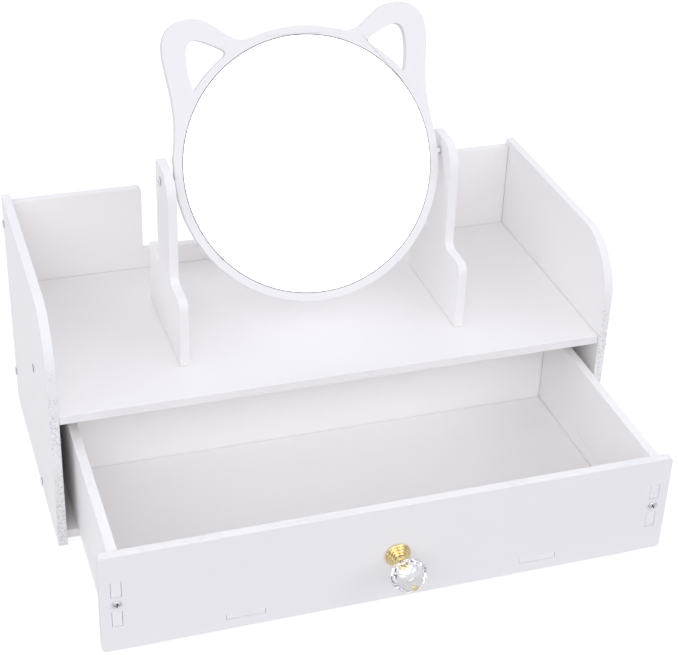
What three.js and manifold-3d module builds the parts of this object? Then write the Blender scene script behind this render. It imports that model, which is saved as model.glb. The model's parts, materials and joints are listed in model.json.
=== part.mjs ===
// Desktop vanity: a cabinet of white foam board with one drawer, and a tilting
// round mirror whose frame has two cat ears. Millimetres, +Z up, drawer towards -Y.
import * as THREE from 'three';
import { mergeVertices } from 'three/addons/utils/BufferGeometryUtils.js';
import { ConvexGeometry } from 'three/addons/geometries/ConvexGeometry.js';
import Module from 'manifold-3d';

const wasm = await Module();
wasm.setup();

// Driving dimensions
const WIDTH = 500;
const DEPTH = 233;
const SIDE_HEIGHT = 221;
const BOARD = 8;
const THIN_BOARD = 5;
const GAP = 0.3;
const SIDE_CORNER_RADIUS = 52;
const TOP_HEIGHT = 132;
const TOP_SETBACK = 1.2;
const BOTTOM_HEIGHT = 11.4;
const BOTTOM_SETBACK = 5;
const BACK_HEIGHT = 215.5;
const NOTCH_HALF_WIDTH = 124;
const NOTCH_HEIGHT = 151;
const NOTCH_RADIUS = 4;

const POST_INNER = 121.6;
const POST_FRONT = 48;
const POST_REAR = 166.5;
const UPRIGHT_FRONT = 84;
const UPRIGHT_REAR = 129.5;
const UPRIGHT_TOP = 292;
const FRONT_STEP_TOP = 195;
const REAR_STEP_TOP = 192;

const PIVOT_Y = 112;
const PIVOT_HEIGHT = 278.2;
const MIRROR_TILT = 24.4;
const GLASS_RADIUS = 110.5;
const GLASS_THICKNESS = 2.6;
const RING_RADIUS = 118;
const POCKET_DEPTH = 3;
const FRAME_FRONT = -5.5;

const DRAWER_OPENING = 143.8;
const FRONT_WIDTH = 481.4;
const FRONT_HEIGHT = 93.7;
const FRONT_CORNER = 4;
const BOX_WIDTH = 463.4;
const BOX_HEIGHT = 92.4;
const BOX_DEPTH = 218.3;
const FLOOR_TOP = 15;
const SIDE_TENON = 14.5;
const SIDE_TENON_OFFSET = 14.5;
const FLOOR_TENON = 32;
const FLOOR_TENON_X = 125.5;
const FRONT_SCREW_HEIGHT = 46.5;
const FLOOR_TAB = 30;
const FLOOR_TABS_Y = [55, 155];

const KNOB_HEIGHT = 45;
const KNOB_PROJECTION = 38;
const KNOB_BORE = 2.2;
const ROSETTE_STEPS = [11, 9.3, 7.6, 5.9];
const ROSETTE_LENGTH = 7;
const STEM_LENGTH = 13.5;
const SPIGOT_LENGTH = 8;
const SPIGOT_RADIUS = 3.6;

const SCREW_RADIUS = 1.75;
const SCREW_POINT = 4;
const SCREW_GRIP = 24;
const SCREW_HEAD_RADIUS = 4;
const SCREW_HEAD_HEIGHT = 1.5;
const NUT_RADIUS = 4;
const RECESS_LENGTH = 4.4;
const RECESS_WIDTH = 0.9;
const RECESS_DEPTH = 0.9;
const PANEL_SCREW_Y = 85;
const BACK_SCREW_HEIGHTS = [193, 34];
const POST_SCREWS = { front: 68, rear: 148 };
const ROUND_SEGMENTS = 12;
const SIDES = { left: -1, right: 1 };

// Sizes worked out from the driving ones
const INNER_HALF = WIDTH / 2 - BOARD;
const BACK_FRONT_FACE = DEPTH - BOARD;
const TOP_UNDERSIDE = TOP_HEIGHT - BOARD;
const BOTTOM_UNDERSIDE = BOTTOM_HEIGHT - BOARD;
const DRAWER_LIFT = BOTTOM_HEIGHT + 0.5;
const BOX_HALF = BOX_WIDTH / 2;
const FRONT_FACE = -BOARD;
const FLOOR_UNDERSIDE = FLOOR_TOP - THIN_BOARD;
const BACK_INNER = BOX_DEPTH - BOARD;
const POST_MIDDLE = POST_INNER + BOARD / 2;
const KNOB_TIP = DRAWER_OPENING + BOARD + KNOB_PROJECTION;
const ORIGIN_SHIFT = (KNOB_TIP - DEPTH) / 2;

// Materials
const paint = (color, roughness, metalness) => () =>
  new THREE.MeshStandardMaterial({ color, roughness, metalness });
const foamBoard = paint(0xe9e7ee, 0.45, 0);
const brass = paint(0xd9b45a, 0.22, 1);
const steel = paint(0xb9bbbf, 0.3, 1);
const silvered = paint(0xf4f6f7, 0.03, 1);
const crystal = paint(0xf2f4f6, 0.02, 0);

// Solid helpers

function toManifold(geometry) {
  const bare = geometry.clone();
  bare.deleteAttribute('normal');
  bare.deleteAttribute('uv');
  const merged = mergeVertices(bare, 1e-4);
  const corners = merged.index.array;
  const kept = [];
  for (let i = 0; i < corners.length; i += 3) {
    const [a, b, c] = [corners[i], corners[i + 1], corners[i + 2]];
    if (a !== b && b !== c && c !== a) kept.push(a, b, c);
  }
  return new wasm.Manifold(new wasm.Mesh({
    numProp: 3,
    vertProperties: Float32Array.from(merged.attributes.position.array),
    triVerts: Uint32Array.from(kept),
  }));
}

function toGeometry(manifold) {
  const mesh = manifold.getMesh();
  const geometry = new THREE.BufferGeometry();
  geometry.setAttribute('position', new THREE.BufferAttribute(mesh.vertProperties, 3));
  geometry.setIndex(new THREE.BufferAttribute(mesh.triVerts, 1));
  geometry.computeVertexNormals();
  return geometry;
}

function cut(geometry, cutters) {
  let body = toManifold(geometry);
  for (const cutter of cutters) body = body.subtract(toManifold(cutter));
  return toGeometry(body);
}

function join(geometry, pieces) {
  let body = toManifold(geometry);
  for (const piece of pieces) body = body.add(toManifold(piece));
  return toGeometry(body);
}

function boxBetween(low, high) {
  const box = new THREE.BoxGeometry(high[0] - low[0], high[1] - low[1], high[2] - low[2]);
  box.translate((low[0] + high[0]) / 2, (low[1] + high[1]) / 2, (low[2] + high[2]) / 2);
  return box;
}

// A rod that runs along an axis ('x', 'y' or 'z') from a start point.
function rod(axis, start, length, radius, segments = ROUND_SEGMENTS) {
  const cylinder = new THREE.CylinderGeometry(radius, radius, Math.abs(length), segments);
  const middle = [...start];
  if (axis === 'x') cylinder.rotateZ(Math.PI / 2);
  if (axis === 'z') cylinder.rotateX(Math.PI / 2);
  middle['xyz'.indexOf(axis)] += length / 2;
  cylinder.translate(...middle);
  return cylinder;
}

// A board cut from an outline. 'x': the outline is (y, z) and the thickness runs along +X.
// 'y': the outline is (x, z) and the thickness runs along +Y.
function board(outline, thickness, across, curveSegments = 10) {
  const geometry = new THREE.ExtrudeGeometry(outline, {
    depth: thickness, bevelEnabled: false, curveSegments,
  });
  const [X, Y, Z] = [[1, 0, 0], [0, 1, 0], [0, 0, 1]].map((v) => new THREE.Vector3(...v));
  if (across === 'x') return geometry.applyMatrix4(new THREE.Matrix4().makeBasis(Y, Z, X));
  geometry.applyMatrix4(new THREE.Matrix4().makeBasis(X, Z, Y.negate()));
  return geometry.translate(0, thickness, 0);
}

function roundedRectangle(left, bottom, right, top, radius) {
  const shape = new THREE.Shape();
  shape.moveTo(left + radius, bottom);
  shape.absarc(right - radius, bottom + radius, radius, -Math.PI / 2, 0);
  shape.absarc(right - radius, top - radius, radius, 0, Math.PI / 2);
  shape.absarc(left + radius, top - radius, radius, Math.PI / 2, Math.PI);
  shape.absarc(left + radius, bottom + radius, radius, Math.PI, 1.5 * Math.PI);
  return shape;
}

// Turned pieces stand on the origin and point along -Y: radii are listed from back to front.
function turned(profile, segments = 24) {
  const points = profile.map(([radius, along]) => new THREE.Vector2(radius, along));
  const geometry = new THREE.LatheGeometry(points, segments);
  geometry.rotateX(Math.PI);
  return geometry;
}

const root = new THREE.Group();
const cabinet = new THREE.Group();
cabinet.position.y = ORIGIN_SHIFT;
root.add(cabinet);

function place(group, name, geometry, material, position = [0, 0, 0]) {
  const mesh = new THREE.Mesh(geometry, material());
  mesh.name = name;
  mesh.position.set(...position);
  group.add(mesh);
  return mesh;
}

// Screws: a low domed head with a cross recess, and a plain pointed shank.
// The geometry points along +Y, with the underside of the head at the origin.
function screwGeometry() {
  const crown = { radius: 2.2, height: SCREW_HEAD_HEIGHT };
  const brow = { radius: 3.6, height: 0.9 };
  const profile = [
    [0, -crown.height],
    [crown.radius, -crown.height],
    [brow.radius, -brow.height],
    [SCREW_HEAD_RADIUS, 0],
    [SCREW_RADIUS, 0],
    [SCREW_RADIUS, SCREW_GRIP - SCREW_POINT],
    [0, SCREW_GRIP],
  ];
  const points = profile.map(([radius, along]) => new THREE.Vector2(radius, along));
  const recess = [0, Math.PI / 2].map((turn) => {
    const bar = new THREE.BoxGeometry(RECESS_LENGTH, 2 * RECESS_DEPTH, RECESS_WIDTH);
    bar.rotateY(turn);
    bar.translate(0, -SCREW_HEAD_HEIGHT, 0);
    return bar;
  });
  return cut(new THREE.LatheGeometry(points, ROUND_SEGMENTS), recess);
}
const screw = screwGeometry();

// Places a screw whose shank points along direction, with its head just clear of the board.
function placeScrew(group, name, start, direction) {
  const mesh = place(group, name, screw, steel);
  const way = new THREE.Vector3(...direction);
  mesh.quaternion.setFromUnitVectors(new THREE.Vector3(0, 1, 0), way);
  mesh.position.set(...start).addScaledVector(way, -GAP);
  return mesh;
}

// The hole that a screw needs: clear all round, and past its point.
function screwHole(axis, start, sign) {
  const from = [...start];
  from['xyz'.indexOf(axis)] -= sign;
  return rod(axis, from, sign * (SCREW_GRIP + 2), SCREW_RADIUS + GAP, ROUND_SEGMENTS);
}

// Cabinet screws, as (y, z) on each side panel's outer face
const SIDE_SCREWS = {
  back_upper: [BACK_FRONT_FACE + BOARD / 2, BACK_SCREW_HEIGHTS[0]],
  back_lower: [BACK_FRONT_FACE + BOARD / 2, BACK_SCREW_HEIGHTS[1]],
  top: [PANEL_SCREW_Y, TOP_HEIGHT - BOARD / 2],
  bottom: [PANEL_SCREW_Y, BOTTOM_HEIGHT - BOARD / 2],
};

function sideScrewHoles() {
  const holes = [];
  for (const sign of Object.values(SIDES)) {
    for (const [y, z] of Object.values(SIDE_SCREWS)) {
      holes.push(screwHole('x', [sign * WIDTH / 2, y, z], -sign));
    }
  }
  return holes;
}

// Post screws come up through the table top
function postScrewHoles() {
  const holes = [];
  for (const sign of Object.values(SIDES)) {
    for (const y of Object.values(POST_SCREWS)) {
      holes.push(screwHole('z', [sign * POST_MIDDLE, y, TOP_UNDERSIDE], 1));
    }
  }
  return holes;
}

// Side panels: rectangles with one large round corner at the top front
function sideOutline() {
  const shape = new THREE.Shape();
  const radius = SIDE_CORNER_RADIUS;
  shape.moveTo(0, 0);
  shape.lineTo(DEPTH, 0);
  shape.lineTo(DEPTH, SIDE_HEIGHT);
  shape.lineTo(radius, SIDE_HEIGHT);
  shape.absarc(radius, SIDE_HEIGHT - radius, radius, Math.PI / 2, Math.PI);
  shape.lineTo(0, 0);
  return shape;
}

// Back panel: tall at both ends, low behind the mirror
function backOutline() {
  const half = INNER_HALF - GAP;
  const radius = NOTCH_RADIUS;
  const shape = new THREE.Shape();
  shape.moveTo(-half, BOTTOM_UNDERSIDE);
  shape.lineTo(half, BOTTOM_UNDERSIDE);
  shape.lineTo(half, BACK_HEIGHT);
  shape.absarc(NOTCH_HALF_WIDTH + radius, BACK_HEIGHT - radius, radius, Math.PI / 2, Math.PI);
  shape.absarc(NOTCH_HALF_WIDTH - radius, NOTCH_HEIGHT + radius, radius, 0, -Math.PI / 2, true);
  shape.absarc(radius - NOTCH_HALF_WIDTH, NOTCH_HEIGHT + radius, radius, -Math.PI / 2, -Math.PI, true);
  shape.absarc(-NOTCH_HALF_WIDTH - radius, BACK_HEIGHT - radius, radius, 0, Math.PI / 2);
  shape.lineTo(-half, BACK_HEIGHT);
  return shape;
}

// Mirror post: an upright with a low step in front of it and another behind
function postOutline() {
  const foot = TOP_HEIGHT + GAP;
  const [crown, edge, fillet] = [22, 9, 7];
  const [rearEdge, rearCrown] = [2, 4];
  const [up, right] = [Math.PI / 2, 0];
  const shape = new THREE.Shape();
  shape.moveTo(POST_FRONT, foot);
  shape.lineTo(POST_REAR, foot);
  shape.absarc(POST_REAR - rearEdge, REAR_STEP_TOP - rearEdge, rearEdge, right, up);
  shape.absarc(UPRIGHT_REAR + rearEdge, REAR_STEP_TOP + rearEdge, rearEdge, -up, -Math.PI, true);
  shape.absarc(UPRIGHT_REAR - rearCrown, UPRIGHT_TOP - rearCrown, rearCrown, right, up);
  shape.absarc(UPRIGHT_FRONT + crown, UPRIGHT_TOP - crown, crown, up, Math.PI);
  shape.absarc(UPRIGHT_FRONT - fillet, FRONT_STEP_TOP + fillet, fillet, right, -up, true);
  shape.absarc(POST_FRONT + edge, FRONT_STEP_TOP - edge, edge, up, Math.PI);
  return shape;
}

function buildCabinet() {
  const holes = sideScrewHoles();
  const post = postOutline();
  const pivotBore = rod('x', [-WIDTH / 2, PIVOT_Y, PIVOT_HEIGHT], WIDTH, SCREW_RADIUS + GAP);
  for (const [side, sign] of Object.entries(SIDES)) {
    const panel = board(sideOutline(), BOARD, 'x');
    panel.translate(sign > 0 ? INNER_HALF : -WIDTH / 2, 0, 0);
    place(cabinet, `${side}_side_panel`, cut(panel, holes), foamBoard);

    const upright = board(post, BOARD, 'x', 8);
    upright.translate(sign > 0 ? POST_INNER : -POST_INNER - BOARD, 0, 0);
    place(cabinet, `${side}_mirror_post`, cut(upright, [...postScrewHoles(), pivotBore]), foamBoard);

    for (const [spot, [y, z]] of Object.entries(SIDE_SCREWS)) {
      placeScrew(cabinet, `${side}_${spot}_screw`, [sign * WIDTH / 2, y, z], [-sign, 0, 0]);
    }
    for (const [spot, y] of Object.entries(POST_SCREWS)) {
      const start = [sign * POST_MIDDLE, y, TOP_UNDERSIDE];
      placeScrew(cabinet, `${side}_post_${spot}_screw`, start, [0, 0, 1]);
    }
  }

  const back = board(backOutline(), BOARD, 'y', 6);
  back.translate(0, BACK_FRONT_FACE, 0);
  place(cabinet, 'back_panel', cut(back, holes), foamBoard);

  const reach = INNER_HALF - GAP;
  const top = boxBetween([-reach, TOP_SETBACK, TOP_UNDERSIDE], [reach, BACK_FRONT_FACE - GAP, TOP_HEIGHT]);
  place(cabinet, 'table_top', cut(top, [...holes, ...postScrewHoles()]), foamBoard);
  const bottom = boxBetween([-reach, BOTTOM_SETBACK, BOTTOM_UNDERSIDE],
    [reach, BACK_FRONT_FACE - GAP, BOTTOM_HEIGHT]);
  place(cabinet, 'bottom_panel', cut(bottom, holes), foamBoard);
}

// Drawer: its own frame has y = 0 on the back of the drawer front, and z = 0 on its underside
const drawer = new THREE.Group();
drawer.position.set(0, -DRAWER_OPENING, DRAWER_LIFT);
cabinet.add(drawer);

const grow = (low, high, by) => [low.map((v) => v - by), high.map((v) => v + by)];

// Tenons as [low corner, high corner]; the slot for each is the same box made larger by the gap
function sideTenons(sign) {
  const [near, far] = [BOX_HALF - BOARD, BOX_HALF].map((x) => sign * x).sort((a, b) => a - b);
  return [-1, 1].map((level) => {
    const middle = FRONT_SCREW_HEIGHT + level * SIDE_TENON_OFFSET;
    return [[near, FRONT_FACE, middle - SIDE_TENON / 2], [far, 1, middle + SIDE_TENON / 2]];
  });
}

function floorTenons() {
  return [-1, 1].map((sign) => {
    const middle = sign * FLOOR_TENON_X;
    return [[middle - FLOOR_TENON / 2, FRONT_FACE, FLOOR_UNDERSIDE],
      [middle + FLOOR_TENON / 2, 1, FLOOR_TOP]];
  });
}

// Tabs along the floor's ends that stop halfway through the drawer's sides
function floorTabs() {
  const reach = BOX_HALF - BOARD / 2;
  return FLOOR_TABS_Y.map((y) => [[-reach, y - FLOOR_TAB / 2, FLOOR_UNDERSIDE],
    [reach, y + FLOOR_TAB / 2, FLOOR_TOP]]);
}

const slotFor = ([low, high]) => boxBetween(...grow(low, high, GAP));

function buildDrawer() {
  const frontScrews = [-1, 1].map((sign) => [sign * (BOX_HALF - BOARD / 2), FRONT_FACE, FRONT_SCREW_HEIGHT]);
  const backScrews = [-1, 1].map((sign) => [sign * BOX_HALF, BACK_INNER + BOARD / 2, FRONT_SCREW_HEIGHT]);
  const frontHoles = frontScrews.map((start) => screwHole('y', start, 1));
  const backHoles = backScrews.map((start) => screwHole('x', start, -Math.sign(start[0])));

  const outline = roundedRectangle(-FRONT_WIDTH / 2, 0, FRONT_WIDTH / 2, FRONT_HEIGHT, FRONT_CORNER);
  const front = board(outline, BOARD - GAP, 'y', 5);
  front.translate(0, FRONT_FACE, 0);
  const slots = [...sideTenons(-1), ...sideTenons(1), ...floorTenons()].map(slotFor);
  const knobHole = rod('y', [0, FRONT_FACE - 1, KNOB_HEIGHT], BOARD + 2, SCREW_RADIUS + GAP);
  place(drawer, 'drawer_front', cut(front, [...slots, ...frontHoles, knobHole]), foamBoard);

  for (const [side, sign] of Object.entries(SIDES)) {
    const inner = sign * (BOX_HALF - BOARD);
    const outer = sign * BOX_HALF;
    const [low, high] = [Math.min(inner, outer), Math.max(inner, outer)];
    const panel = join(boxBetween([low, 0, 0], [high, BOX_DEPTH, BOX_HEIGHT]),
      sideTenons(sign).map((ends) => boxBetween(...ends)));
    const cutters = [...frontHoles, ...backHoles, ...floorTabs().map(slotFor)];
    place(drawer, `drawer_${side}_side`, cut(panel, cutters), foamBoard);
  }

  const reach = BOX_HALF - BOARD - GAP;
  const back = boxBetween([-reach, BACK_INNER, 0], [reach, BOX_DEPTH, BOX_HEIGHT]);
  place(drawer, 'drawer_back', cut(back, backHoles), foamBoard);
  const floor = join(boxBetween([-reach, 0, FLOOR_UNDERSIDE], [reach, BACK_INNER - GAP, FLOOR_TOP]),
    [...floorTenons(), ...floorTabs()].map((ends) => boxBetween(...ends)));
  place(drawer, 'drawer_floor', floor, foamBoard);

  Object.keys(SIDES).forEach((side, i) => {
    placeScrew(drawer, `drawer_front_${side}_screw`, frontScrews[i], [0, 1, 0]);
    const inwards = -Math.sign(backScrews[i][0]);
    placeScrew(drawer, `drawer_back_${side}_screw`, backScrews[i], [inwards, 0, 0]);
  });
}

// Knob: a stepped brass rosette, a brass stem, a faceted crystal and the screw that holds them
function rosetteGeometry() {
  const rise = ROSETTE_LENGTH / ROSETTE_STEPS.length;
  const draft = 0.4;
  const profile = [[KNOB_BORE, 0]];
  ROSETTE_STEPS.forEach((radius, i) => {
    profile.push([radius, i * rise]);
    profile.push([radius - draft, (i + 1) * rise]);
  });
  profile.push([KNOB_BORE, ROSETTE_LENGTH]);
  profile.push([KNOB_BORE, 0]);
  return turned(profile, 32);
}

function stemGeometry() {
  const visible = STEM_LENGTH - ROSETTE_LENGTH;
  const tip = visible + SPIGOT_LENGTH;
  const boreDepth = 9;
  const [foot, waist, neck, cup] = [4.6, 3.8, 4.4, 6.4];
  const profile = [
    [0, boreDepth],
    [KNOB_BORE, boreDepth],
    [KNOB_BORE, 0],
    [foot, 0],
    [waist, visible * 0.35],
    [neck, visible * 0.7],
    [cup, visible],
    [SPIGOT_RADIUS, visible],
    [SPIGOT_RADIUS, tip - 1],
    [SPIGOT_RADIUS - 1, tip],
    [0, tip],
  ];
  return turned(profile);
}

// Rows of eight corners, each as [radius, share of the length from the back, half-facet turns]
function crystalGeometry() {
  const length = KNOB_PROJECTION - STEM_LENGTH - 3 * GAP;
  const rows = [[7, 0, 0], [12.2, 0.24, 1], [15, 0.45, 0], [15, 0.58, 1], [11.8, 0.84, 0], [7.2, 1, 1]];
  const points = [];
  for (const [radius, share, turn] of rows) {
    for (let corner = 0; corner < 8; corner += 1) {
      const angle = ((corner + turn / 2) * Math.PI) / 4;
      points.push(new THREE.Vector3(radius * Math.cos(angle), -share * length, radius * Math.sin(angle)));
    }
  }
  const socket = rod('y', [0, 1, 0], -SPIGOT_LENGTH - 1 - GAP, SPIGOT_RADIUS + GAP);
  return cut(new ConvexGeometry(points), [socket]);
}

function buildKnob() {
  const knob = new THREE.Group();
  knob.position.set(0, FRONT_FACE, KNOB_HEIGHT);
  drawer.add(knob);
  place(knob, 'knob_rosette', rosetteGeometry(), brass, [0, -GAP, 0]);
  place(knob, 'knob_stem', stemGeometry(), brass, [0, -ROSETTE_LENGTH - 2 * GAP, 0]);
  place(knob, 'knob_crystal', crystalGeometry(), crystal, [0, -STEM_LENGTH - 3 * GAP, 0]);
  placeScrew(knob, 'knob_screw', [0, BOARD, 0], [0, -1, 0]);
}

// Mirror: its own frame has the pivots on the X axis, and the glass facing -Y
const mirror = new THREE.Group();
mirror.position.set(0, PIVOT_Y, PIVOT_HEIGHT);
mirror.rotation.x = THREE.MathUtils.degToRad(-MIRROR_TILT);
cabinet.add(mirror);

// Half of the ear line, from the ring beside the crown to the ring above the pivot.
// Each row is a cubic curve: first control point, second control point, end point.
const EAR_START = [39.4, 111.2];
const EAR_CURVES = [
  [[45, 109.2], [54, 109.8], [63, 117.2]],
  [[67, 120.5], [71.5, 124.2], [76, 127]],
  [[88, 134.5], [116.5, 133.5], [117, 106]],
  [[117.2, 92], [112, 72], [112.5, 50]],
  [[112.8, 38], [115.5, 26], [117.2, 14]],
];

function frameOutline() {
  const earEnd = EAR_CURVES.at(-1)[2];
  const startAngle = Math.atan2(EAR_START[1], EAR_START[0]);
  const endAngle = Math.atan2(earEnd[1], earEnd[0]);
  const shape = new THREE.Shape();
  shape.absarc(0, 0, RING_RADIUS, startAngle, Math.PI - startAngle);
  for (const [first, second, end] of EAR_CURVES) {
    shape.bezierCurveTo(-first[0], first[1], -second[0], second[1], -end[0], end[1]);
  }
  shape.absarc(0, 0, RING_RADIUS, Math.PI - endAngle, 2 * Math.PI + endAngle);
  const corners = [EAR_START, ...EAR_CURVES.map((curve) => curve[2])];
  for (let i = EAR_CURVES.length - 1; i >= 0; i -= 1) {
    const [first, second] = EAR_CURVES[i];
    shape.bezierCurveTo(second[0], second[1], first[0], first[1], corners[i][0], corners[i][1]);
  }
  return shape;
}

// The opening in an ear: its lower side follows the ring between two angles, in degrees,
// and the other sides are curves with rounded corners between them.
// Each row is a quadratic curve: control point, end point.
const EAR_HOLE_RADIUS = RING_RADIUS - 1;
const EAR_HOLE_ARC = [55.5, 38.6];
const EAR_HOLE_ARC_STEPS = 6;
const EAR_HOLE_CURVES = [
  [[93.8, 69.9], [95, 75]],
  [[97.6, 88], [97.3, 100]],
  [[96.9, 113], [88, 113]],
  [[82, 112.3], [66.5, 104]],
];
const EAR_HOLE_LAST_CORNER = [60.2, 100.7];

function earHole(sign) {
  const [from, to] = EAR_HOLE_ARC.map(THREE.MathUtils.degToRad);
  const arc = [];
  for (let i = 0; i <= EAR_HOLE_ARC_STEPS; i += 1) {
    const angle = from + ((to - from) * i) / EAR_HOLE_ARC_STEPS;
    arc.push([EAR_HOLE_RADIUS * Math.cos(angle), EAR_HOLE_RADIUS * Math.sin(angle)]);
  }
  const hole = new THREE.Shape();
  hole.moveTo(sign * arc[0][0], arc[0][1]);
  arc.slice(1).forEach(([x, z]) => hole.lineTo(sign * x, z));
  for (const [control, end] of [...EAR_HOLE_CURVES, [EAR_HOLE_LAST_CORNER, arc[0]]]) {
    hole.quadraticCurveTo(sign * control[0], control[1], sign * end[0], end[1]);
  }
  return hole;
}

function buildMirror() {
  const frame = board(frameOutline(), BOARD, 'y', 12);
  frame.translate(0, FRAME_FRONT, 0);
  const pocket = rod('y', [0, FRAME_FRONT - 1, 0], POCKET_DEPTH + 1, GLASS_RADIUS + GAP, 72);
  const holes = [-1, 1].map((sign) => {
    const hole = board(earHole(sign), BOARD + 2, 'y', 6);
    hole.translate(0, FRAME_FRONT - 1, 0);
    return hole;
  });
  const outer = POST_INNER + BOARD;
  const bores = [-1, 1].map((sign) => screwHole('x', [sign * outer, 0, 0], -sign));
  place(mirror, 'mirror_frame', cut(frame, [pocket, ...holes, ...bores]), foamBoard);

  const glassBack = FRAME_FRONT + POCKET_DEPTH - GAP;
  const glass = rod('y', [0, glassBack, 0], -GLASS_THICKNESS, GLASS_RADIUS, 72);
  place(mirror, 'mirror_glass', glass, silvered);

  for (const [side, sign] of Object.entries(SIDES)) {
    placeScrew(mirror, `${side}_pivot_screw`, [sign * outer, 0, 0], [-sign, 0, 0]);
    const length = POST_INNER - RING_RADIUS - 2 * GAP;
    const start = sign * (RING_RADIUS + GAP);
    const nut = cut(rod('x', [start, 0, 0], sign * length, NUT_RADIUS, 6),
      [rod('x', [start - sign, 0, 0], sign * (length + 2), SCREW_RADIUS + GAP)]);
    place(mirror, `${side}_pivot_nut`, nut, steel);
  }
}

buildCabinet();
buildDrawer();
buildKnob();
buildMirror();

export default root;
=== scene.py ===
"""Looks for the desktop vanity: a foam-board cabinet, its drawer, a crystal knob and a cat-ear mirror."""

import json
import math

import bmesh
import bpy
from mathutils import Matrix, Vector


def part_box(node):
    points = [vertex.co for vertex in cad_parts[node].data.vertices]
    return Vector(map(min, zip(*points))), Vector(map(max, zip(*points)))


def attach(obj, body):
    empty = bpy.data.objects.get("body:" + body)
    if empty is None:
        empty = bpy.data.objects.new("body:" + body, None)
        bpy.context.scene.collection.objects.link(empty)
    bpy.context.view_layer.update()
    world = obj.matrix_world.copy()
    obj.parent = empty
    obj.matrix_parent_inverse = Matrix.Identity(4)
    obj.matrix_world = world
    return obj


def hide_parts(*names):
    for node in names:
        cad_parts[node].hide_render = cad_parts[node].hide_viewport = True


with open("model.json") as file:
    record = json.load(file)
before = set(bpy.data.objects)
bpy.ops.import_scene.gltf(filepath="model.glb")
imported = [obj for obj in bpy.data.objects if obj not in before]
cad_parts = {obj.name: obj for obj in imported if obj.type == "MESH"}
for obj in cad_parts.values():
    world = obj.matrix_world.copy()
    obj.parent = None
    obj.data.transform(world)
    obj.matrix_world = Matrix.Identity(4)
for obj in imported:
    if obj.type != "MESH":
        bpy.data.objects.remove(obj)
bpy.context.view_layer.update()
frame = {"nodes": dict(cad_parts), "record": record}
MM = 0.001
NODES = frame["nodes"]
BODY_OF = {
    node: body
    for body, members in frame["record"]["behaviour"]["bodies"].items()
    for node in members
}

# Camera, from the viewing angle that the object is shown at
CAMERA_PLACE = Vector((-0.3786, -1.1056, 0.8901))
CAMERA_TURN = math.radians(19.06)
CAMERA_PITCH = math.radians(31.74)
CAMERA_ROLL = math.radians(2.18)
CAMERA_LENS = 85.4
CAMERA_SENSOR = 36.0

# Light
LIGHT_COLOR = (0.98, 0.995, 1.075)
LIGHT_TARGET = Vector((0, 0, 0.15))
# How bright the studio is by height, from straight down (0) through level (0.5) to straight up (1)
SKY = [(0.0, 0.58), (0.45, 0.58), (0.55, 0.30), (0.75, 1.50), (1.0, 0.30)]
# Round soft lights: turn to the right of straight ahead and rise, in degrees, width in metres,
# brightness, and whether they light the boards or only show in reflections
SOFTBOX_DISTANCE = 2.4
SOFTBOXES = {
    "camera_side": (-20, 35, 1.4, 1.8, True),
    "right_side": (45, 35, 1.4, 0.75, True),
    "left_side": (-75, 35, 1.4, 0.55, True),
    "mirror_card": (17, 16, 1.6, 1.15, False),
}

# Stage
FLOOR_HALF = 12.0
FLOOR_COLOR = (0.55, 0.55, 0.55)
FLOOR_GLOW = 0.62
STUDIO_RADIUS = 3.4
APRON_FAR_EDGE = -0.2
APRON_LIFT = 0.5 * MM
APRON_COLOR = (0.60, 0.57, 0.53)
# Flags: the turns that each one runs between, in degrees, its height and its colour
FLAGS = {
    "left_flag": ((-120, -55), 1.1, (0.12, 0.10, 0.08)),
    "right_flag": ((50, 100), 1.0, (0.16, 0.13, 0.10)),
}
FLAG_PANELS = 12

# Boards: which way each one's thickness runs, how open the cells of its sawn edges are, and its tone as
# painted light
BOARDS = {
    "left_side_panel": ("X", "open", 1.0),
    "right_side_panel": ("X", "open", 1.0),
    "left_mirror_post": ("X", "fine", 1.0),
    "right_mirror_post": ("X", "fine", 1.0),
    "back_panel": ("Y", "fine", 1.0),
    "table_top": ("Z", "fine", 1.0),
    "bottom_panel": ("Z", "fine", 1.0),
    "drawer_front": ("Y", "fine", 1.0),
    # Painted light: the drawer's inner boards are made lighter, for more light inside the drawer
    "drawer_left_side": ("X", "fine", 1.03),
    "drawer_right_side": ("X", "fine", 1.03),
    "drawer_back": ("Y", "fine", 1.03),
    "drawer_floor": ("Z", "fine", 1.03),
    # Painted shade: the mirror frame is made darker, to offset how brightly its face is lit
    "mirror_frame": ("mirror", "fine", 0.955),
}
SKIN_WHITE = (0.940, 0.917, 0.903)
SKIN_WARM = (0.932, 0.907, 0.892)
SAWN_WHITE = (0.930, 0.908, 0.895)
PORE_SHADE = (0.42, 0.36, 0.33)
PORE_STRENGTH = {"open": 0.6, "fine": 0.03}
# The height at which the open cells are nearly gone, and the height below which they are all there
PORE_HEIGHTS = (0.185, 0.150)
# How fine each pattern on the boards is, in repeats a metre
BLOTCH_SCALE = 9.0
PATCH_SCALE = 26.0
POLISH_SCALE = 60.0
PORE_PICK_SCALE = 420.0
PEEL_SCALE = 520.0
CELL_SCALE = 850.0
GRAIN_SCALE = 2400.0

# Edges, and the joints of the boards
SHARP_ANGLE = math.radians(40)
EDGE_ROUNDING = 0.4 * MM
FRONT_CORNER = 4 * MM
FRONT_ROUNDING = 0.6 * MM
CORNER_STEPS = 6
ROUNDING_STEPS = 4
SLOT_GAP = 0.3 * MM
NUT_ROUNDING = 0.2 * MM
# The boards with two tenons through the drawer front, and the axis that parts the two (0 is X, 2 is Z)
TENON_BOARDS = {"drawer_left_side": 2, "drawer_right_side": 2, "drawer_floor": 0}

# Metals: two colours that they drift between, roughness from and to, and scratches a metre
STEEL = ((0.88, 0.89, 0.91), (0.74, 0.75, 0.78), (0.26, 0.40), 900.0)
GOLD = ((0.94, 0.81, 0.47), (0.87, 0.70, 0.36), (0.04, 0.11), 700.0)
# Painted shade: the dark colour laid into the screws' cross recesses, for the shade that falls there
RECESS_PAINTED_SHADE = (0.06, 0.055, 0.05)

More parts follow.
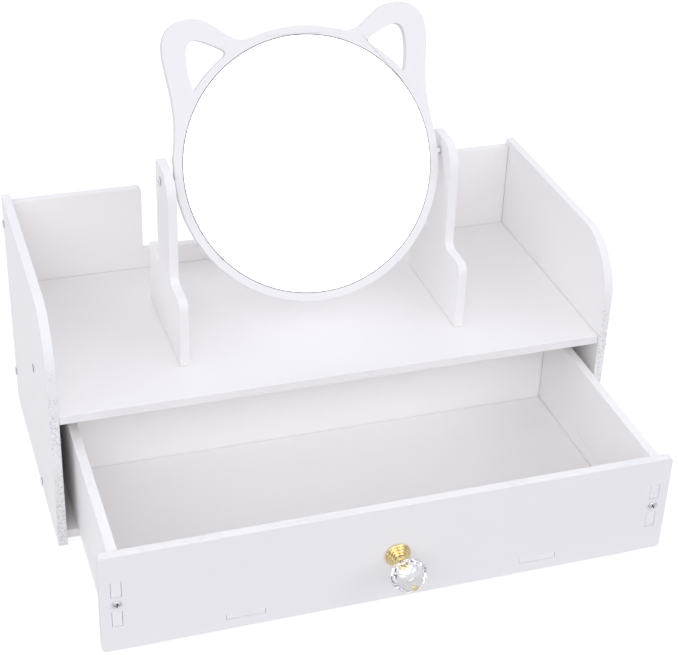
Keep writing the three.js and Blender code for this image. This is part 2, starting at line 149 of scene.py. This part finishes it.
# Screws, in millimetres, from the underside of the head
HEAD_RADIUS = 4.0
HEAD_HEIGHT = 1.5
HEAD_CROWN = 0.4
HEAD_RIM = 0.55
RECESS_HALF_LENGTH = 2.6
RECESS_HALF_WIDTH = 0.62
RECESS_DEPTH = 1.6
# How far below the head's top the painted shade in the cross recess begins
PAINTED_SHADE_DEPTH = 0.35
SCREW_HOLE_RADIUS = 2.1
SHANK_RADIUS = 1.7
THREAD_START = 2.0
THREAD_DEPTH = 0.45
THREAD_PITCH = 1.3
THREAD_TURNS = 14
POINT_START = 20.5
SCREW_LENGTH = 23.5
# How much further each screw's cross is turned than the last one's, in degrees
CROSS_TURN = 37

# Knob, in millimetres. RING_STEP is how much smaller each ring of the rosette is than the one behind it,
# as a share of the rosette's radius.
ROSETTE_RINGS = 4
RING_STEP = 0.155
SPIGOT_LENGTH = 8.0
# The stem between the rosette and the crystal: radius, share of its length from the rosette
STEM_NECK = [(6.4, 1.0), (6.3, 0.86), (5.2, 0.7), (4.2, 0.5), (3.9, 0.34), (4.2, 0.16), (4.6, 0.0)]
# The crystal's rows of facet corners: radius, share of its length from the back, half facets turned
CRYSTAL_SIDES = 8
CRYSTAL_ROWS = [
    (7.0, 0.0, 0), (11.4, 0.18, 1), (14.6, 0.42, 0), (15.0, 0.60, 1), (11.9, 0.84, 0), (7.4, 1.0, 1),
]
FACET_EDGE = 0.12
SOCKET_RADIUS = 3.9
SOCKET_DEPTH = 8.6
SOCKET_CHAMFER = 1.0

# Mirror glass: its chamfer, and how far in from its rim its colour starts to darken and is fully dark,
# in millimetres, then its colour inside and at the rim
GLASS_CHAMFER = 0.5
RIM_FADE = (0.7, 0.3)
SILVER = (0.985, 0.99, 0.99)
DARK_RIM = (0.58, 0.59, 0.60)


# ---- Helpers -----------------------------------------------------------------------------


def add_object(name, data):
    """A new object, linked to the scene."""
    item = bpy.data.objects.new(name, data)
    bpy.context.scene.collection.objects.link(item)
    return item


def new_piece(name, mesh, place, material, body, slot, *replaced):
    """A visible piece in its place, riding on a body and standing for the CAD nodes that it replaces."""
    piece = add_object(name, mesh)
    piece.matrix_world = place
    mesh.materials.clear()
    mesh.materials.append(material)
    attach(piece, body)
    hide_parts(*replaced)
    return piece


def finished_mesh(name, bm, smooth_angle=35.0):
    """The mesh of bm, shaded smooth but for the edges that turn more than smooth_angle, in degrees."""
    bmesh.ops.recalc_face_normals(bm, faces=bm.faces)
    limit = math.radians(smooth_angle)
    for face in bm.faces:
        face.smooth = True
    for edge in bm.edges:
        edge.smooth = len(edge.link_faces) == 2 and edge.calc_face_angle(0) < limit
    mesh = bpy.data.meshes.new(name)
    bm.to_mesh(mesh)
    bm.free()
    return mesh


def turned_mesh(name, profile, segments=96, smooth_angle=35.0):
    """A closed solid turned about Z. profile is (radius, height), in millimetres, from top to foot."""
    bm = bmesh.new()
    rings = []
    for radius, height in profile:
        if radius == 0:
            rings.append([bm.verts.new((0, 0, height * MM))])
            continue
        ring = []
        for i in range(segments):
            angle = 2 * math.pi * i / segments
            ring.append(bm.verts.new((
                radius * MM * math.cos(angle), radius * MM * math.sin(angle), height * MM,
            )))
        rings.append(ring)
    for upper, lower in zip(rings, rings[1:]):
        for i in range(segments):
            j = (i + 1) % segments
            if len(upper) == 1:
                bm.faces.new((upper[0], lower[i], lower[j]))
            elif len(lower) == 1:
                bm.faces.new((upper[j], upper[i], lower[0]))
            else:
                bm.faces.new((upper[j], upper[i], lower[i], lower[j]))
    return finished_mesh(name, bm, smooth_angle)


def arc(centre, radius, start, end, steps=5):
    """Points on an arc between two angles, in degrees, as (radius, height) pairs."""
    points = []
    for i in range(steps + 1):
        angle = math.radians(start + (end - start) * i / steps)
        points.append((centre[0] + radius * math.cos(angle), centre[1] + radius * math.sin(angle)))
    return points


def carved(body, *cutters):
    """The mesh of a helper object, modifiers and all, less its cutters; the helpers are then removed."""
    for cutter in cutters:
        boolean = body.modifiers.new("carve", "BOOLEAN")
        boolean.object = cutter
        boolean.operation = "DIFFERENCE"
        boolean.solver = "EXACT"
    bpy.context.view_layer.update()
    mesh = bpy.data.meshes.new_from_object(body.evaluated_get(bpy.context.evaluated_depsgraph_get()))
    for helper in (body, *cutters):
        bpy.data.objects.remove(helper)
    return mesh


# ---- Stage -------------------------------------------------------------------------------


def make_camera():
    data = bpy.data.cameras.new("camera")
    data.lens = CAMERA_LENS
    data.sensor_width = CAMERA_SENSOR
    data.clip_start = 0.01
    data.clip_end = 50.0
    forward = Vector((
        math.sin(CAMERA_TURN) * math.cos(CAMERA_PITCH),
        math.cos(CAMERA_TURN) * math.cos(CAMERA_PITCH),
        -math.sin(CAMERA_PITCH),
    ))
    level = forward.to_track_quat("-Z", "Y").to_matrix().to_4x4()
    camera = add_object("camera", data)
    camera.matrix_world = (
        Matrix.Translation(CAMERA_PLACE) @ level @ Matrix.Rotation(CAMERA_ROLL, 4, "Z")
    )
    bpy.context.scene.camera = camera


def make_world():
    """A white studio whose brightness changes with height only."""
    world = bpy.data.worlds.new("studio")
    bpy.context.scene.world = world
    world.use_nodes = True
    nodes, link = world.node_tree.nodes, world.node_tree.links.new
    background = nodes["Background"]
    background.inputs["Color"].default_value = (*LIGHT_COLOR, 1.0)
    split = nodes.new("ShaderNodeSeparateXYZ")
    share = nodes.new("ShaderNodeMapRange")
    share.inputs["From Min"].default_value = -1.0
    ramp = nodes.new("ShaderNodeValToRGB")
    steps = ramp.color_ramp.elements
    while len(steps) < len(SKY):
        steps.new(0.5)
    for step, (place, level) in zip(steps, SKY):
        step.position = place
        step.color = (level, level, level, 1.0)
    link(nodes.new("ShaderNodeTexCoord").outputs["Generated"], split.inputs[0])
    link(split.outputs["Z"], share.inputs["Value"])
    link(share.outputs["Result"], ramp.inputs["Fac"])
    link(ramp.outputs["Color"], background.inputs["Strength"])


def make_softbox(name, turn, rise, width, brightness, lights_boards):
    """A round soft light facing the object; its power follows from how bright its face is."""
    turn, rise = math.radians(turn), math.radians(rise)
    place = LIGHT_TARGET + SOFTBOX_DISTANCE * Vector((
        math.sin(turn) * math.cos(rise), -math.cos(turn) * math.cos(rise), math.sin(rise),
    ))
    data = bpy.data.lights.new(name, "AREA")
    data.shape = "DISK"
    data.size = width
    data.energy = brightness * (math.pi * width / 2) ** 2
    data.color = LIGHT_COLOR
    light = add_object(name, data)
    light.location = place
    light.rotation_euler = (LIGHT_TARGET - place).to_track_quat("-Z", "Y").to_euler()
    light.visible_diffuse = lights_boards


def stage_piece(name, mesh, color, glow=0.0):
    """A matt piece of the studio. Diffuse light ignores it, so it doesn't tint the boards."""
    material = bpy.data.materials.new(name)
    material.use_nodes = True
    shader = material.node_tree.nodes["Principled BSDF"]
    shader.inputs["Base Color"].default_value = (*color, 1)
    shader.inputs["Roughness"].default_value = 1.0
    shader.inputs["Specular IOR Level"].default_value = 0.0
    shader.inputs["Emission Color"].default_value = (1, 1, 1, 1)
    shader.inputs["Emission Strength"].default_value = glow
    material.cycles.emission_sampling = "NONE"
    mesh.materials.append(material)
    piece = add_object(name, mesh)
    piece.visible_diffuse = False
    return piece


def reflected_only(piece):
    """Hides a stage piece from all but reflections."""
    piece.visible_camera = False
    piece.visible_shadow = False
    piece.visible_transmission = False


def card_mesh(name, half_width, near, far, height):
    """A level rectangle from near to far along Y."""
    mesh = bpy.data.meshes.new(name)
    corners = [
        (-half_width, near, height), (half_width, near, height),
        (half_width, far, height), (-half_width, far, height),
    ]
    mesh.from_pydata(corners, [], [(0, 1, 2, 3)])
    return mesh


def make_floor():
    """A pale floor that glows, so that shadows on it stay faint, and that blocks no light itself."""
    mesh = card_mesh("floor", FLOOR_HALF, -FLOOR_HALF, FLOOR_HALF, 0)
    stage_piece("floor", mesh, FLOOR_COLOR, FLOOR_GLOW).visible_shadow = False


def make_apron():
    """A dim card on the floor before the object, seen only in reflections, for contrast in metal."""
    mesh = card_mesh("apron", STUDIO_RADIUS, -STUDIO_RADIUS, APRON_FAR_EDGE, APRON_LIFT)
    reflected_only(stage_piece("apron", mesh, APRON_COLOR))


def make_flag(name, turns, height, color):
    """A curved dark panel, seen only in reflections, for contrast in metal and crystal."""
    start, end = turns
    bm = bmesh.new()
    rows = []
    for level in (0.0, height):
        row = []
        for step in range(FLAG_PANELS + 1):
            turn = math.radians(start + (end - start) * step / FLAG_PANELS)
            row.append(bm.verts.new((
                STUDIO_RADIUS * math.sin(turn), -STUDIO_RADIUS * math.cos(turn), level,
            )))
        rows.append(row)
    foot, top = rows
    for i in range(FLAG_PANELS):
        bm.faces.new((foot[i], foot[i + 1], top[i + 1], top[i]))
    mesh = bpy.data.meshes.new(name)
    bm.to_mesh(mesh)
    bm.free()
    reflected_only(stage_piece(name, mesh, color))


# ---- Materials ---------------------------------------------------------------------------


class Nodes:
    """A material's node tree, with short calls to add and join nodes."""

    def __init__(self, name):
        self.material = bpy.data.materials.new(name)
        self.material.use_nodes = True
        self.tree = self.material.node_tree
        self.shader = self.tree.nodes["Principled BSDF"]

    def add(self, kind, **settings):
        node = self.tree.nodes.new(kind)
        for key, value in settings.items():
            setattr(node, key, value)
        return node

    def join(self, output, target):
        self.tree.links.new(output, target)

    def place(self):
        return self.add("ShaderNodeTexCoord").outputs["Object"]

    def height(self):
        """Height along the piece's own Z."""
        split = self.add("ShaderNodeSeparateXYZ")
        self.join(self.place(), split.inputs[0])
        return split.outputs["Z"]

    def length(self, vector):
        node = self.add("ShaderNodeVectorMath", operation="LENGTH")
        self.join(vector, node.inputs[0])
        return node.outputs["Value"]

    def noise(self, scale, detail=2.0):
        node = self.add("ShaderNodeTexNoise")
        node.inputs["Scale"].default_value = scale
        node.inputs["Detail"].default_value = detail
        self.join(self.place(), node.inputs["Vector"])
        return node.outputs["Fac"]

    def math(self, operation, first, second=None):
        node = self.add("ShaderNodeMath", operation=operation)
        for socket, value in zip(node.inputs, (first, second)):
            if value is None:
                continue
            if isinstance(value, (int, float)):
                socket.default_value = value
            else:
                self.join(value, socket)
        return node.outputs[0]

    def spread(self, value, from_low, from_high, to_low, to_high):
        """Carries value from one range to another, and holds it inside that."""
        node = self.add("ShaderNodeMapRange")
        limits = (from_low, from_high, to_low, to_high)
        for socket, limit in zip(list(node.inputs)[1:5], limits):
            socket.default_value = limit
        self.join(value, node.inputs["Value"])
        return node.outputs["Result"]

    def mix(self, share, first, second):
        """From the first colour, where share is 0, to the second, where it is 1."""
        node = self.add("ShaderNodeMix", data_type="RGBA")
        colors = [socket for socket in node.inputs if socket.type == "RGBA"]
        for socket, value in zip(colors, (first, second)):
            if isinstance(value, tuple):
                socket.default_value = (*value, 1.0)
            else:
                self.join(value, socket)
        self.join(share, node.inputs["Factor"])
        return next(socket for socket in node.outputs if socket.type == "RGBA")

    def bump(self, height, strength, distance, normal=None):
        node = self.add("ShaderNodeBump")
        node.inputs["Strength"].default_value = strength
        node.inputs["Distance"].default_value = distance
        self.join(height, node.inputs["Height"])
        if normal is not None:
            self.join(normal, node.inputs["Normal"])
        return node.outputs["Normal"]

    def drive(self, name, output):
        """Joins an output to one of the shader's own sockets."""
        self.join(output, self.shader.inputs[name])

    def set(self, **values):
        for name, value in values.items():
            self.shader.inputs[name.replace("_", " ")].default_value = value


def sawn_share(n, axis):
    """1 on the edges that the saw has cut, and 0 on the skins, which face along axis."""
    facing = n.add("ShaderNodeVectorMath", operation="DOT_PRODUCT")
    n.join(n.add("ShaderNodeTexCoord").outputs["Normal"], facing.inputs[0])
    facing.inputs[1].default_value = axis
    across = n.math("ABSOLUTE", facing.outputs["Value"])
    return n.spread(across, 0.75, 0.45, 0.0, 1.0)


def open_cells(n):
    """Foam cells that lie open, some of them picked by chance, in patches, and nearly none high up."""
    cells = n.add("ShaderNodeTexVoronoi", feature="F1")
    cells.inputs["Scale"].default_value = CELL_SCALE
    n.join(n.place(), cells.inputs["Vector"])
    cell = n.spread(cells.outputs["Distance"], 0.5, 0.3, 0.0, 1.0)
    picked = n.math("GREATER_THAN", n.noise(PORE_PICK_SCALE, detail=1.0), 0.5)
    patches = n.spread(n.noise(PATCH_SCALE, detail=4.0), 0.42, 0.56, 0.15, 1.0)
    gone, full = PORE_HEIGHTS
    low_down = n.spread(n.height(), gone, full, 0.05, 1.0)
    return n.math("MULTIPLY", n.math("MULTIPLY", n.math("MULTIPLY", cell, picked), patches), low_down)


def board_material(name, axis, pore_strength, painted_light_tone):
    """Satin foam board: a faint orange peel on the skin, and open cells where the saw has cut it."""
    n = Nodes(name)
    # The tone scales the colours: painted light where above 1, painted shade where below 1
    white, warm, sawn_white = (
        tuple(painted_light_tone * share for share in color) for color in (SKIN_WHITE, SKIN_WARM, SAWN_WHITE)
    )
    blotches = n.spread(n.noise(BLOTCH_SCALE, detail=3.0), 0.35, 0.65, 0.0, 1.0)
    skin = n.mix(blotches, white, warm)
    sawn = sawn_share(n, axis)
    pores = n.math("MULTIPLY", open_cells(n), sawn)
    shade = n.math("MULTIPLY", pores, pore_strength)
    n.drive("Base Color", n.mix(shade, n.mix(sawn, skin, sawn_white), PORE_SHADE))

    polish = n.spread(n.noise(POLISH_SCALE, detail=4.0), 0.3, 0.7, 0.40, 0.50)
    n.drive("Roughness", n.math("ADD", polish, n.math("MULTIPLY", sawn, 0.25)))

    grain = n.math("MULTIPLY", n.noise(GRAIN_SCALE), sawn)
    peeled = n.bump(n.noise(PEEL_SCALE), strength=0.10, distance=0.06 * MM)
    grained = n.bump(grain, strength=0.5, distance=0.12 * MM, normal=peeled)
    pitted = n.bump(n.math("SUBTRACT", 1.0, pores), strength=0.8, distance=0.25 * MM, normal=grained)
    n.drive("Normal", pitted)
    n.set(Specular_IOR_Level=0.42)
    return n.material


def metal_material(name, light, dark, roughness, scratch_scale, pocket=None):
    """Plated metal with fine scratches and slightly uneven polish.

    pocket is the radius and the height of a recess on Z that is darkened as painted shade.
    """
    n = Nodes(name)
    cloud = n.spread(n.noise(240.0, detail=3.0), 0.35, 0.65, 0.0, 1.0)
    plated = n.mix(cloud, light, dark)
    if pocket:
        radius, height = pocket
        flat = n.add("ShaderNodeVectorMath", operation="MULTIPLY")
        n.join(n.place(), flat.inputs[0])
        flat.inputs[1].default_value = (1, 1, 0)
        near = n.spread(n.length(flat.outputs[0]), radius, radius - 0.1 * MM, 0.0, 1.0)
        deep = n.spread(n.height(), height, height - 0.15 * MM, 0.0, 1.0)
        # Painted shade: the colour in the recess is darkened where its shade would fall
        plated = n.mix(n.math("MULTIPLY", near, deep), plated, RECESS_PAINTED_SHADE)
    n.drive("Base Color", plated)
    smoothest, roughest = roughness
    n.drive("Roughness", n.spread(n.noise(scratch_scale, detail=4.0), 0.3, 0.7, smoothest, roughest))
    n.drive("Normal", n.bump(n.noise(scratch_scale * 2.0), strength=0.12, distance=0.03 * MM))
    n.set(Metallic=1.0)
    return n.material


def mirror_material(radius):
    """Silvered glass, darker towards the rim. radius is in metres."""
    n = Nodes("mirror_glass")
    fades, gone = RIM_FADE
    rim = n.spread(n.length(n.place()), radius - fades * MM, radius - gone * MM, 0.0, 1.0)
    n.drive("Base Color", n.mix(rim, SILVER, DARK_RIM))
    n.drive("Roughness", n.spread(n.noise(30.0, detail=3.0), 0.3, 0.7, 0.008, 0.02))
    n.set(Metallic=1.0)
    return n.material


def crystal_material():
    """Clear crystal with a faint uneven tint and a breath of surface wear."""
    n = Nodes("clear_crystal")
    tint = n.spread(n.noise(300.0), 0.3, 0.7, 0.0, 1.0)
    n.drive("Base Color", n.mix(tint, (0.99, 0.995, 1.0), (0.97, 0.975, 0.985)))
    n.drive("Roughness", n.spread(n.noise(180.0, detail=3.0), 0.3, 0.7, 0.0, 0.02))
    n.set(Transmission_Weight=1.0, IOR=1.48)
    return n.material


# ---- Rounded CAD nodes -------------------------------------------------------------------


def edge_marks():
    """Geometry nodes that shade a piece smooth and mark its sharp edges for rounding."""
    group = bpy.data.node_groups.new("edge_marks", "GeometryNodeTree")
    group.interface.new_socket("Geometry", in_out="INPUT", socket_type="NodeSocketGeometry")
    group.interface.new_socket("Geometry", in_out="OUTPUT", socket_type="NodeSocketGeometry")
    link = group.links.new
    given = group.nodes.new("NodeGroupInput")
    result = group.nodes.new("NodeGroupOutput")
    smooth = group.nodes.new("GeometryNodeSetShadeSmooth")
    angle = group.nodes.new("GeometryNodeInputMeshEdgeAngle")
    sharp = group.nodes.new("ShaderNodeMath")
    sharp.operation = "GREATER_THAN"
    sharp.inputs[1].default_value = SHARP_ANGLE
    mark = group.nodes.new("GeometryNodeStoreNamedAttribute")
    mark.data_type = "FLOAT"
    mark.domain = "EDGE"
    mark.inputs["Name"].default_value = "bevel_weight_edge"
    link(given.outputs[0], smooth.inputs["Geometry"])
    link(smooth.outputs[0], mark.inputs["Geometry"])
    link(angle.outputs["Unsigned Angle"], sharp.inputs[0])
    link(sharp.outputs[0], mark.inputs["Value"])
    link(mark.outputs[0], result.inputs[0])
    return group


EDGE_MARKS = edge_marks()


def soften(node, material, rounding=EDGE_ROUNDING, segments=3):
    """Gives a CAD node its material, shades it smooth and rounds its sharp edges."""
    piece = NODES[node]
    piece.data.materials.clear()
    piece.data.materials.append(material)
    weld = piece.modifiers.new("weld", "WELD")
    weld.merge_threshold = 0.005 * MM
    marks = piece.modifiers.new("marks", "NODES")
    marks.node_group = EDGE_MARKS
    bevel = piece.modifiers.new("rounding", "BEVEL")
    bevel.limit_method = "WEIGHT"
    bevel.width = rounding
    bevel.segments = segments
    bevel.use_clamp_overlap = False
    bevel.loop_slide = False
    bevel.miter_outer = "MITER_ARC"
    bevel.face_strength_mode = "FSTR_ALL"
    shading = piece.modifiers.new("shading", "WEIGHTED_NORMAL")
    shading.use_face_influence = True


# ---- Boards ------------------------------------------------------------------------------


def mirror_normal():
    """The way the mirror faces, from the flat front of its glass."""
    faces = NODES["mirror_glass"].data.polygons
    front = max(faces, key=lambda face: (round(face.area, 7), -face.normal.y))
    return front.normal.normalized() * (-1 if front.normal.y > 0 else 1)


def dress_boards():
    axes = {"X": (1, 0, 0), "Y": (0, 1, 0), "Z": (0, 0, 1), "mirror": tuple(mirror_normal())}
    materials = {}
    for node, kind in BOARDS.items():
        way, cells, painted_light_tone = kind
        if kind not in materials:
            name = f"board_{way.lower()}_{cells}_{round(painted_light_tone * 1000)}"
            materials[kind] = board_material(name, axes[way], PORE_STRENGTH[cells], painted_light_tone)
        if node == "drawer_front":
            dress_drawer_front(materials[kind])
        else:
            soften(node, materials[kind])


def rounded_rectangle(half_width, half_height, radius):
    """The outline's (x, z) points, counterclockwise from the right-hand end of the top right corner."""
    points = []
    for corner, (side, end) in enumerate(((1, 1), (-1, 1), (-1, -1), (1, -1))):
        for i in range(CORNER_STEPS + 1):
            angle = math.radians(90 * (corner + i / CORNER_STEPS))
            points.append((
                side * (half_width - radius) + radius * math.cos(angle),
                end * (half_height - radius) + radius * math.sin(angle),
            ))
    return points


def rounded_plate(low, high, corner, rounding):
    """A board standing across Y, with round corners and softly rounded edges front and back."""
    middle = (low + high) / 2
    half = (high - low) / 2
    inset_and_place = []
    for i in range(ROUNDING_STEPS + 1):
        angle = math.pi / 2 * i / ROUNDING_STEPS
        inset = rounding * (1 - math.sin(angle))
        inset_and_place.append((inset, low.y + rounding * (1 - math.cos(angle))))
    inset_and_place += [(inset, low.y + high.y - y) for inset, y in reversed(inset_and_place)]
    bm = bmesh.new()
    rings = []
    for inset, y in inset_and_place:
        outline = rounded_rectangle(half.x - inset, half.z - inset, corner - inset)
        rings.append([bm.verts.new((middle.x + x, y, middle.z + z)) for x, z in outline])
    bm.faces.new(rings[0])
    bm.faces.new(rings[-1])
    for near, far in zip(rings, rings[1:]):
        for i in range(len(near)):
            j = (i + 1) % len(near)
            bm.faces.new((near[i], near[j], far[j], far[i]))
    return add_object("plate", finished_mesh("plate", bm))


def tenon_ends(node, front_high, way):
    """The corners of a board's two tenons inside the drawer front, parted along way."""
    inside = [v.co for v in NODES[node].data.vertices if v.co.y < front_high.y - MM]
    places = [corner[way] for corner in inside]
    middle = (min(places) + max(places)) / 2
    return [c for c in inside if c[way] < middle], [c for c in inside if c[way] > middle]


def slot_cutter(corners, front_low, front_high):
    """A box a little wider than a tenon, long enough to pass through the drawer front."""
    low = Vector([min(c[i] for c in corners) - SLOT_GAP for i in range(3)])
    high = Vector([max(c[i] for c in corners) + SLOT_GAP for i in range(3)])
    low.y, high.y = front_low.y - MM, front_high.y + MM
    bm = bmesh.new()
    bmesh.ops.create_cube(bm, size=1.0)
    for vert in bm.verts:
        vert.co = (low + high) / 2 + Vector([vert.co[i] * (high - low)[i] for i in range(3)])
    return add_object("slot", finished_mesh("slot", bm))


def hole_cutter(node, front_low, front_high):
    """A round cutter on a screw's axis, through the drawer front and a millimetre past it each way."""
    low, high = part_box(node)
    reach = (front_high.y - front_low.y) / MM + 2
    profile = [(0, reach), (SCREW_HOLE_RADIUS, reach), (SCREW_HOLE_RADIUS, 0), (0, 0)]
    cutter = add_object("hole", turned_mesh("hole", profile, segments=32))
    cutter.rotation_euler = (math.pi / 2, 0, 0)
    cutter.location = ((low.x + high.x) / 2, front_high.y + MM, (low.z + high.z) / 2)
    return cutter


def dress_drawer_front(material):
    """The drawer front, with crisp slots round the tenons of the sides and the floor."""
    low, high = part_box("drawer_front")
    cutters = []
    for node, way in TENON_BOARDS.items():
        for corners in tenon_ends(node, high, way):
            cutters.append(slot_cutter(corners, low, high))
    for node in ("drawer_front_left_screw", "drawer_front_right_screw", "knob_screw"):
        cutters.append(hole_cutter(node, low, high))
    bm = bmesh.new()
    bm.from_mesh(carved(rounded_plate(low, high, FRONT_CORNER, FRONT_ROUNDING), *cutters))
    mesh = finished_mesh("drawer_front", bm)
    front = new_piece("drawer_front_detail", mesh, Matrix(), material, "drawer", "white_board",
                      "drawer_front")
    shading = front.modifiers.new("shading", "WEIGHTED_NORMAL")
    shading.keep_sharp = True


# ---- Screws ------------------------------------------------------------------------------


def screw_mesh():
    """A low pan head with a cross recess, on a threaded shank. Z points out of the head."""
    crown = []
    for i in range(9):
        share = i / 8
        crown.append((HEAD_RADIUS * 0.86 * share, HEAD_HEIGHT - HEAD_CROWN * share ** 2.4))
    rim = arc((HEAD_RADIUS - HEAD_RIM, HEAD_HEIGHT - 1.0), HEAD_RIM, 60, -50, steps=6)
    shank = [(HEAD_RADIUS - 0.3, 0.0), (SHANK_RADIUS, 0.0)]
    for i in range(THREAD_TURNS):
        height = -THREAD_START - THREAD_PITCH * i
        shank.append((SHANK_RADIUS, height))
        shank.append((SHANK_RADIUS - THREAD_DEPTH, height - THREAD_PITCH / 2))
    point = [(SHANK_RADIUS - 0.6, -POINT_START), (0.0, -SCREW_LENGTH)]
    body = add_object("screw_body", turned_mesh("screw", crown + rim + shank + point, segments=48))
    mesh = carved(body, recess_cutter(0), recess_cutter(math.pi / 2))
    mesh.name = "screw_with_recess"
    return mesh


def recess_cutter(turn):
    """One tapered bar of the cross recess."""
    x, y = RECESS_HALF_LENGTH * MM, RECESS_HALF_WIDTH * MM
    top, foot = (HEAD_HEIGHT + 0.2) * MM, (HEAD_HEIGHT - RECESS_DEPTH) * MM
    outline = [(-x, -y), (x, -y), (x, y), (-x, y)]
    bm = bmesh.new()
    upper = [bm.verts.new((x, y, top)) for x, y in outline]
    lower = [bm.verts.new((x * 0.5, y * 0.7, foot)) for x, y in outline]
    bm.faces.new(upper)
    bm.faces.new(list(reversed(lower)))
    for i in range(4):
        j = (i + 1) % 4
        bm.faces.new((upper[j], upper[i], lower[i], lower[j]))
    cutter = add_object("recess", finished_mesh("recess", bm))
    cutter.rotation_euler = (0, 0, turn)
    return cutter


def screw_seat(node):
    """Where a CAD screw's head sits, and the way its head faces."""
    low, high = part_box(node)
    size = high - low
    middle = (low + high) / 2
    axis = max(range(3), key=lambda i: size[i])
    head_places = []
    for vertex in NODES[node].data.vertices:
        from_axis = vertex.co - middle
        from_axis[axis] = 0
        if from_axis.length > (HEAD_RADIUS - 1) * MM:
            head_places.append(vertex.co[axis])
    head_side = 1 if sum(head_places) / len(head_places) > middle[axis] else -1
    outward = Vector([head_side if i == axis else 0 for i in range(3)])
    end = high[axis] if head_side > 0 else low[axis]
    seat = middle.copy()
    seat[axis] = end - head_side * HEAD_HEIGHT * MM
    return seat, outward


def dress_screws(material):
    mesh = screw_mesh()
    screws = [
        row["node"] for row in frame["record"]["subparts"]
        if row["material_slot"] == "screw_steel" and not row["node"].endswith("_nut")
    ]
    for index, node in enumerate(screws):
        seat, outward = screw_seat(node)
        turn = Matrix.Rotation(math.radians(CROSS_TURN * index % 90), 4, "Z")
        facing = outward.to_track_quat("Z", "Y").to_matrix().to_4x4()
        place = Matrix.Translation(seat) @ facing @ turn
        new_piece(f"{node}_detail", mesh, place, material, BODY_OF[node], "screw_steel", node)
    for side in ("left", "right"):
        soften(f"{side}_pivot_nut", material, NUT_ROUNDING, segments=2)


# ---- Knob --------------------------------------------------------------------------------


def standing_on(node):
    """The place of a piece made along Z: it points along -Y, with its foot at the back of a CAD node."""
    low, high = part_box(node)
    foot = Vector(((low.x + high.x) / 2, high.y, (low.z + high.z) / 2))
    return Matrix.Translation(foot) @ Matrix.Rotation(math.pi / 2, 4, "X")


def dress_rosette(material):
    """A stepped rosette of round-edged rings."""
    low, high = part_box("knob_rosette")
    radius = (high.x - low.x) / 2 / MM
    length = (high.y - low.y) / MM
    rise = length / ROSETTE_RINGS
    step = radius * RING_STEP
    bead = min(rise * 0.48, step * 0.62)
    profile = [(0.0, length + 0.2)]
    for i in reversed(range(ROSETTE_RINGS)):
        outer = radius - step * i
        foot, top = i * rise, (i + 1) * rise
        profile += arc((outer - bead, top - bead), bead, 90, 0)
        profile += arc((outer - bead * 0.5, foot + bead * 0.5), bead * 0.5, 0, -60, steps=3)
    profile += [(radius - 0.6, 0.0), (0.0, 0.0)]
    new_piece("rosette_detail", turned_mesh("rosette", profile), standing_on("knob_rosette"), material,
              "drawer", "gold_metal", "knob_rosette")


def dress_stem(material):
    """The waisted stem, and the spigot that goes into the crystal."""
    low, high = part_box("knob_stem")
    reach = (high.y - low.y) / MM
    neck = reach - SPIGOT_LENGTH
    profile = [(0.0, reach), (3.2, reach), (3.5, reach - 0.4), (3.6, neck)]
    profile += [(radius, neck * share) for radius, share in STEM_NECK]
    profile.append((0.0, 0.0))
    new_piece("stem_detail", turned_mesh("stem", profile, smooth_angle=50), standing_on("knob_stem"),
              material, "drawer", "gold_metal", "knob_stem")


def dress_crystal(material):
    """A cut crystal with flat facets and a socket at the back for the stem's spigot."""
    low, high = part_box("knob_crystal")
    length = (high.y - low.y) / MM
    bm = bmesh.new()
    for radius, share, turn in CRYSTAL_ROWS:
        for side in range(CRYSTAL_SIDES):
            angle = 2 * math.pi * (side + turn / 2) / CRYSTAL_SIDES
            bm.verts.new((
                radius * MM * math.cos(angle), radius * MM * math.sin(angle), share * length * MM,
            ))
    bmesh.ops.convex_hull(bm, input=bm.verts)
    bmesh.ops.dissolve_limit(bm, angle_limit=math.radians(1), verts=bm.verts, edges=bm.edges)
    gem = add_object("gem", finished_mesh("gem", bm, smooth_angle=1))
    glint = gem.modifiers.new("glint", "BEVEL")
    glint.limit_method = "ANGLE"
    glint.angle_limit = math.radians(5)
    glint.width = FACET_EDGE * MM
    glint.segments = 1
    profile = [
        (0, SOCKET_DEPTH), (SOCKET_RADIUS - SOCKET_CHAMFER, SOCKET_DEPTH),
        (SOCKET_RADIUS, SOCKET_DEPTH - SOCKET_CHAMFER), (SOCKET_RADIUS, -1.0), (0, -1.0),
    ]
    mesh = carved(gem, add_object("socket", turned_mesh("socket", profile, segments=32)))
    mesh.name = "crystal"
    new_piece("crystal_detail", mesh, standing_on("knob_crystal"), material, "drawer", "clear_crystal",
              "knob_crystal")


# ---- Mirror ------------------------------------------------------------------------------


def dress_mirror():
    """A glass disc with a ground rim, laid in the frame's pocket."""
    low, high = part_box("mirror_glass")
    centre = (low + high) / 2
    normal = mirror_normal()
    radius = (high.x - low.x) / 2 / MM
    half = max((v.co - centre).dot(normal) / MM for v in NODES["mirror_glass"].data.vertices)
    inner = radius - GLASS_CHAMFER
    profile = [
        (0, half), (inner, half), (radius, half - GLASS_CHAMFER),
        (radius, -half + GLASS_CHAMFER), (inner, -half), (0, -half),
    ]
    mesh = turned_mesh("glass", profile, segments=192, smooth_angle=20)
    place = Matrix.Translation(centre) @ normal.to_track_quat("Z", "Y").to_matrix().to_4x4()
    new_piece("mirror_glass_detail", mesh, place, mirror_material(radius * MM), "mirror",
              "mirror_glass", "mirror_glass")


# ---- Build -------------------------------------------------------------------------------

bpy.context.scene.view_settings.view_transform = "Standard"
make_camera()
make_world()
make_floor()
make_apron()
for name, settings in FLAGS.items():
    make_flag(name, *settings)
for name, settings in SOFTBOXES.items():
    make_softbox(name, *settings)

# The screws' cross recess, darkened with painted shade from this depth down
recess = ((RECESS_HALF_LENGTH + 0.1) * MM, (HEAD_HEIGHT - PAINTED_SHADE_DEPTH) * MM)
steel = metal_material("screw_steel", *STEEL, pocket=recess)
gold = metal_material("gold_metal", *GOLD)
dress_boards()
dress_screws(steel)
dress_rosette(gold)
dress_stem(gold)
dress_crystal(crystal_material())
dress_mirror()
